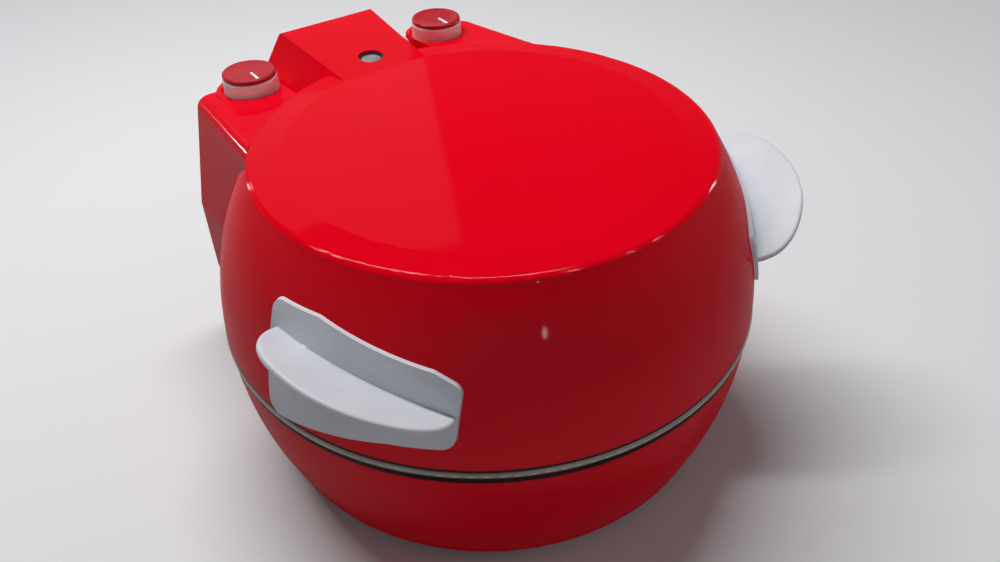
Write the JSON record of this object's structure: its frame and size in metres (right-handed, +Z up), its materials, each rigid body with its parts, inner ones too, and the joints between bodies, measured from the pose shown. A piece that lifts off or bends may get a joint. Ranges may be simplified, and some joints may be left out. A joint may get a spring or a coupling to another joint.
{
  "type": "electric pizza maker",
  "caption": "Countertop pizza maker: round bowl with a baking stone over a heating tube, domed lid on a rear hinge, timer and thermostat knobs, wing handles.",
  "frame": {"origin": "centre of the bounding box at the plane the feet stand on", "axes": "+X to the right seen from the front, +Y from the front to the hinge at the back, +Z up"},
  "size_m": [0.3614, 0.3822, 0.2184],
  "materials": {
    "red_enamel": "glossy baked enamel",
    "red_plastic": "glossy moulded plastic",
    "grey_plastic": "satin moulded plastic",
    "white_plastic": "satin moulded plastic",
    "black_plastic": "fine textured plastic",
    "satin_steel": "satin stainless sheet",
    "bright_sheet": "aluminised sheet",
    "hardware": "zinc plated",
    "element_sheath": "heat-darkened steel tube",
    "stone": "unglazed fired clay",
    "lens": "smoked clear plastic",
    "foot_rubber": "matte",
    "bush_plastic": "natural acetal"
  },
  "bodies": {
    "base": {"base_shell": "red_enamel", "control_housing": "red_plastic", "rear_cover": "black_plastic", "rear_cover_screws": "hardware", "housing_screws": "hardware", "cord_gland": "foot_rubber", "bottom_cover": "satin_steel", "bottom_screws": "hardware", "rubber_feet": "foot_rubber", "base_pan": "satin_steel", "baking_stone": "stone", "lower_element": "element_sheath", "lower_element_straps": "hardware", "base_heat_shield": "bright_sheet", "pan_posts": "hardware", "timer_body": "black_plastic", "thermostat_body": "white_plastic", "sensor_tube": "hardware", "thermal_fuse": "white_plastic", "terminal_block": "white_plastic", "hinge_pin": "hardware", "pin_clips": "hardware"},
    "lid": {"lid_shell": "red_enamel", "lid_liner": "satin_steel", "liner_screws": "hardware", "upper_element": "element_sheath", "upper_element_straps": "hardware", "lid_heat_shield": "bright_sheet", "shield_posts": "hardware", "lamp_holder": "black_plastic", "lamp_lens": "lens", "neck_cover": "black_plastic", "hinge_bracket": "hardware", "bracket_screws": "hardware", "hinge_bushes": "bush_plastic", "handle_left": "grey_plastic", "handle_right": "grey_plastic", "handle_screws": "hardware"},
    "timer_knob": {"timer_knob_skirt": "white_plastic", "timer_knob_cap": "red_plastic", "timer_shaft": "hardware"},
    "thermostat_knob": {"thermostat_knob_skirt": "white_plastic", "thermostat_knob_cap": "red_plastic", "thermostat_shaft": "hardware"}
  },
  "joints": [
    {"name": "lid_hinge", "type": "hinge", "parent": "base", "child": "lid", "pos_m": [0, 0.1741, 0.188], "axis": [-1, 0, 0], "range_deg": [0, 105]},
    {"name": "timer_turn", "type": "hinge", "parent": "base", "child": "timer_knob", "pos_m": [-0.077, 0.1591, 0.198], "axis": [0, 0, -1], "range_deg": [0, 300]},
    {"name": "thermostat_turn", "type": "hinge", "parent": "base", "child": "thermostat_knob", "pos_m": [0.077, 0.1591, 0.198], "axis": [0, 0, -1], "range_deg": [0, 270]}
  ]
}
